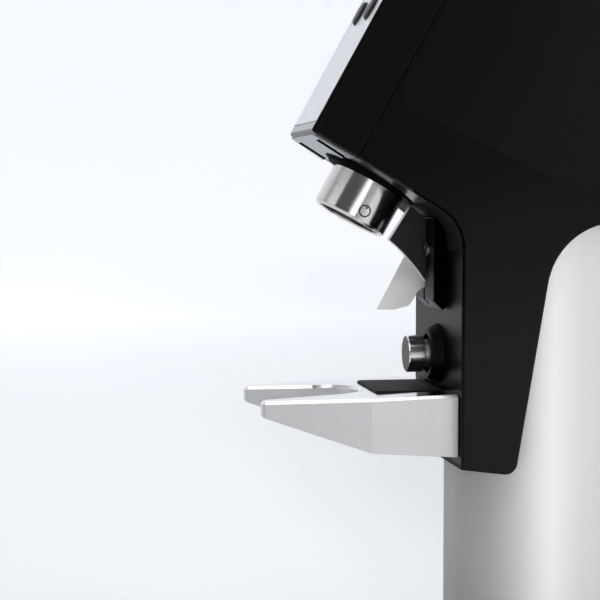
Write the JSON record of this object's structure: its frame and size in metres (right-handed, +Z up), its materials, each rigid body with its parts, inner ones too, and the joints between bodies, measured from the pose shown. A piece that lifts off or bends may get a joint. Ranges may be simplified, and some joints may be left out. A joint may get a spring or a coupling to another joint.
{
  "type": "burr coffee grinder",
  "caption": "Espresso burr grinder with a tilted black head, grind-adjust ring at the outlet, fork with push button, grounds chute, silver column on a base, and a clear bean hopper.",
  "frame": {"origin": "middle of the footprint, on the surface the feet stand on", "axes": "+Z up, -Y towards the fascia and the fork, +X to the right of someone facing the rear"},
  "size_m": [0.14, 0.21, 0.456],
  "materials": {
    "black_plastic": "fine spark-eroded texture, matt",
    "black_satin": "satin",
    "black_base": "fine textured powder coat",
    "silver_frame": "satin silver",
    "pale_panel": "satin pale silver",
    "stainless": "turned and polished",
    "sheet_steel": "fine brushed",
    "fork_cast": "bead blasted with polished edges",
    "column_silver": "satin anodised",
    "cast_alloy": "as cast",
    "steel": "ground",
    "burr_steel": "hardened and ground",
    "screw_steel": "bright zinc",
    "gear_polymer": "natural moulded",
    "rubber": "matt",
    "circuit": "solder mask",
    "dark_glass": "gloss",
    "clear_plastic": "clear",
    "smoke_plastic": "gloss",
    "motor_paint": "satin"
  },
  "bodies": {
    "grinder": {"base_plate": "black_base", "base_cover": "sheet_steel", "rubber_feet": "rubber", "column_tube": "column_silver", "column_foot": "cast_alloy", "column_screws": "screw_steel", "column_head": "cast_alloy", "main_housing": "black_plastic", "front_cover": "black_plastic", "fascia_frame": "silver_frame", "fascia_panel": "pale_panel", "display_window": "dark_glass", "side_panels": "black_plastic", "neck_panel": "black_satin", "rear_cover": "black_plastic", "rear_screws": "screw_steel", "top_deck": "black_plastic", "fork": "fork_cast", "fork_pad": "rubber", "fork_screws": "screw_steel", "chute_holder": "black_satin", "chute": "sheet_steel", "chute_screws": "screw_steel", "button_collar": "black_satin", "button_spring": "steel", "sensor_board": "circuit", "sensor_bracket": "black_satin", "burr_housing": "cast_alloy", "bearing_outer_races": "steel", "motor_plate": "cast_alloy", "motor_can": "motor_paint", "chassis_screws": "screw_steel", "idler_axle": "steel", "feed_throat": "black_satin", "control_board": "circuit", "power_board": "circuit", "power_inlet": "black_satin", "switch_frame": "black_satin"},
    "adjuster": {"adjust_ring": "stainless", "ring_flange": "black_satin", "ring_clip": "steel"},
    "burr_slider": {"burr_carrier": "stainless", "cone_burr": "burr_steel", "burr_screw": "screw_steel"},
    "burr_rotor": {"burr_gear": "steel", "ring_burr": "burr_steel", "bearing_inner_races": "steel", "bearing_balls": "steel"},
    "idler": {"idler_gear": "gear_polymer"},
    "motor_shaft": {"motor_rotor": "steel", "pinion": "steel"},
    "dose_plunger": {"push_button": "stainless", "button_clip": "steel"},
    "hopper_unit": {"hopper": "clear_plastic"},
    "gate": {"hopper_gate": "black_satin"},
    "lid": {"hopper_lid": "smoke_plastic"},
    "tray": {"grounds_tray": "sheet_steel"},
    "single_button": {"dose_button_single": "black_satin"},
    "double_button": {"dose_button_double": "black_satin"},
    "rocker": {"power_rocker": "smoke_plastic"}
  },
  "joints": [
    {"name": "grind_adjust", "type": "hinge", "parent": "grinder", "child": "adjuster", "pos_m": [0, -0.0353, 0.2396], "axis": [0, 0.4848, 0.8746], "range_deg": [-151, 151]},
    {"name": "burr_shift", "type": "slide", "parent": "grinder", "child": "burr_slider", "axis": [0, 0.4848, 0.8746], "range_m": [-0.0005, 0.0005]},
    {"name": "burr_spin", "type": "hinge", "parent": "grinder", "child": "burr_rotor", "pos_m": [0, -0.0353, 0.2396], "axis": [0, 0.4848, 0.8746], "continuous": true},
    {"name": "idler_spin", "type": "hinge", "parent": "grinder", "child": "idler", "pos_m": [0, 0.01839, 0.2622], "axis": [0, 0.4848, 0.8746], "continuous": true},
    {"name": "motor_spin", "type": "hinge", "parent": "grinder", "child": "motor_shaft", "pos_m": [0, 0.0432, 0.26469], "axis": [0, 0.4848, 0.8746], "continuous": true},
    {"name": "dose_push", "type": "slide", "parent": "grinder", "child": "dose_plunger", "axis": [0, 1, 0], "range_m": [0, 0.004], "stiffness_N_per_m": 400, "springref_m": -0.003, "deforming": ["button_spring"]},
    {"name": "hopper_lift", "type": "slide", "parent": "grinder", "child": "hopper_unit", "axis": [0, 0, 1], "range_m": [0, 0.03]},
    {"name": "gate_pull", "type": "slide", "parent": "hopper_unit", "child": "gate", "axis": [0, -1, 0], "range_m": [0, 0.052]},
    {"name": "lid_lift", "type": "slide", "parent": "hopper_unit", "child": "lid", "axis": [0, 0, 1], "range_m": [0, 0.03]},
    {"name": "tray_lift", "type": "slide", "parent": "grinder", "child": "tray", "axis": [0, 0, 1], "range_m": [0, 0.04]},
    {"name": "single_press", "type": "slide", "parent": "grinder", "child": "single_button", "axis": [0, 0.8746, -0.4848], "range_m": [0, 0.0008], "stiffness_N_per_m": 900, "springref_m": -0.0006},
    {"name": "double_press", "type": "slide", "parent": "grinder", "child": "double_button", "axis": [0, 0.8746, -0.4848], "range_m": [0, 0.0008], "stiffness_N_per_m": 900, "springref_m": -0.0006},
    {"name": "power_switch", "type": "hinge", "parent": "grinder", "child": "rocker", "pos_m": [0.017, 0.092, 0.252], "axis": [0, 0, 1], "range_deg": [0, 15]}
  ],
  "couplings": [
    {"joint": "grind_adjust", "follows": "burr_shift", "rad_per_m": 5236},
    {"joint": "idler_spin", "follows": "burr_spin", "ratio": -2},
    {"joint": "motor_spin", "follows": "burr_spin", "ratio": 2.8235}
  ]
}
